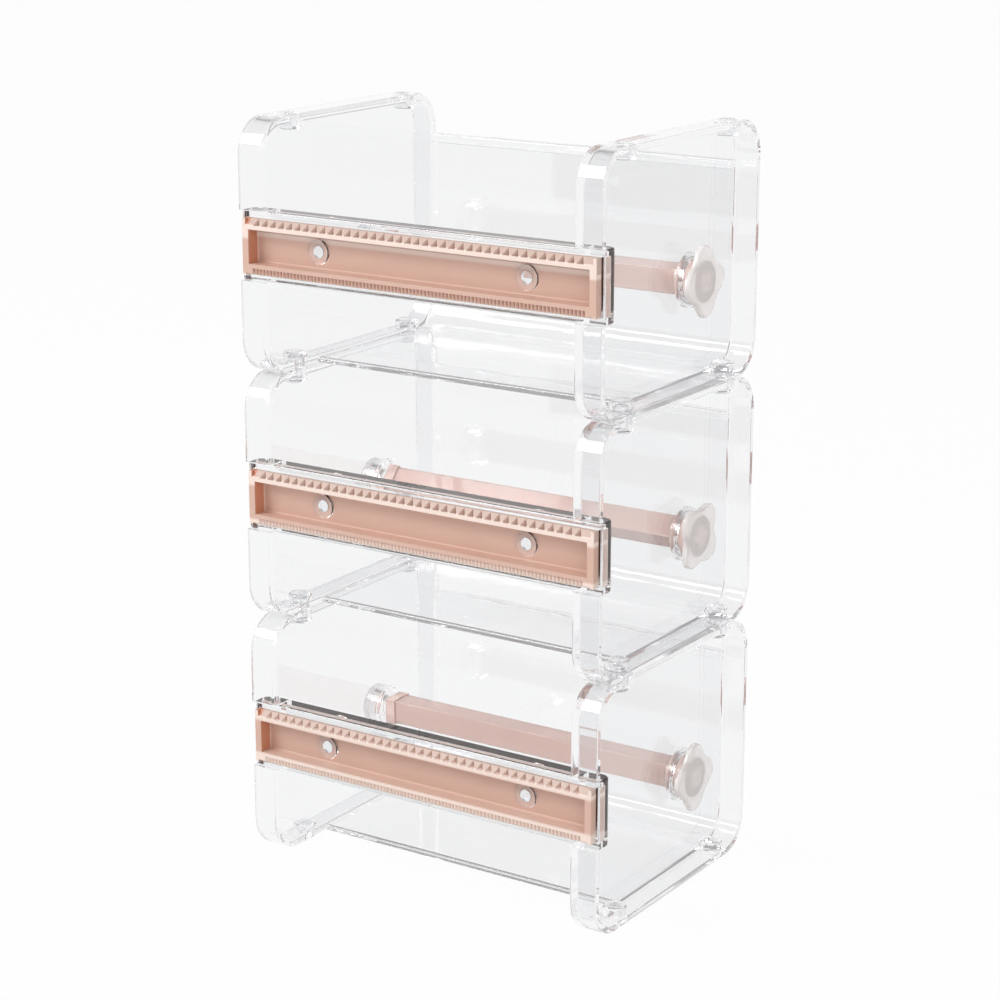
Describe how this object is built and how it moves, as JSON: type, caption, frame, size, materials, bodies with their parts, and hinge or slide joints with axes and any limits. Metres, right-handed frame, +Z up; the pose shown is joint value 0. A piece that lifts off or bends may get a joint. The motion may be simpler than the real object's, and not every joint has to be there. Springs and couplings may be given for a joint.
{
  "type": "stackable washi tape dispenser box",
  "caption": "Stack of clear open-fronted tape dispenser boxes, each with a toothed pink cutter strip and a pink roller on a knob that spins and pulls out to the side.",
  "frame": {"origin": "middle of the stack's footprint, on the plane of the lowest rims", "axes": "+Z up the stack, -Y to the front with the cutter strips, +X to the side with the knobs"},
  "size_m": [0.137, 0.0986, 0.252],
  "materials": {
    "clear_plastic": "clear moulded styrene, polished",
    "pink_strip": "opaque dusty pink moulded plastic, satin",
    "pink_translucent": "translucent dusty pink plastic, polished",
    "pale_knob": "translucent plastic with a rosy tint, polished"
  },
  "bodies": {
    "lower_tier": {"lower_housing": "clear_plastic", "lower_cutter_strip": "pink_strip", "lower_stacking_pins": "clear_plastic"},
    "lower_bush": {"lower_wall_bush": "clear_plastic"},
    "lower_roller": {"lower_roller_tube": "pink_translucent", "lower_roller_end_cap": "pink_translucent", "lower_knob_stem": "pink_translucent", "lower_knob": "pale_knob"},
    "middle_tier": {"middle_housing": "clear_plastic", "middle_cutter_strip": "pink_strip", "middle_stacking_pins": "clear_plastic"},
    "middle_bush": {"middle_wall_bush": "clear_plastic"},
    "middle_roller": {"middle_roller_tube": "pink_translucent", "middle_roller_end_cap": "pink_translucent", "middle_knob_stem": "pink_translucent", "middle_knob": "pale_knob"},
    "upper_tier": {"upper_housing": "clear_plastic", "upper_cutter_strip": "pink_strip"},
    "upper_bush": {"upper_wall_bush": "clear_plastic"},
    "upper_roller": {"upper_roller_tube": "pink_translucent", "upper_roller_end_cap": "pink_translucent", "upper_knob_stem": "pink_translucent", "upper_knob": "pale_knob"}
  },
  "joints": [
    {"name": "lower_roller_pull", "type": "slide", "parent": "lower_tier", "child": "lower_bush", "axis": [1, 0, 0], "range_m": [0, 0.118]},
    {"name": "lower_roller_spin", "type": "hinge", "parent": "lower_bush", "child": "lower_roller", "pos_m": [0.06, 0.017, 0.0346], "axis": [1, 0, 0], "continuous": true},
    {"name": "middle_lift", "type": "slide", "parent": "lower_tier", "child": "middle_tier", "axis": [0, 0, 1], "range_m": [0, 0.04]},
    {"name": "middle_roller_pull", "type": "slide", "parent": "middle_tier", "child": "middle_bush", "axis": [1, 0, 0], "range_m": [0, 0.118]},
    {"name": "middle_roller_spin", "type": "hinge", "parent": "middle_bush", "child": "middle_roller", "pos_m": [0.06, 0.017, 0.1186], "axis": [1, 0, 0], "continuous": true},
    {"name": "upper_lift", "type": "slide", "parent": "middle_tier", "child": "upper_tier", "axis": [0, 0, 1], "range_m": [0, 0.04]},
    {"name": "upper_roller_pull", "type": "slide", "parent": "upper_tier", "child": "upper_bush", "axis": [1, 0, 0], "range_m": [0, 0.118]},
    {"name": "upper_roller_spin", "type": "hinge", "parent": "upper_bush", "child": "upper_roller", "pos_m": [0.06, 0.017, 0.2026], "axis": [1, 0, 0], "continuous": true}
  ]
}
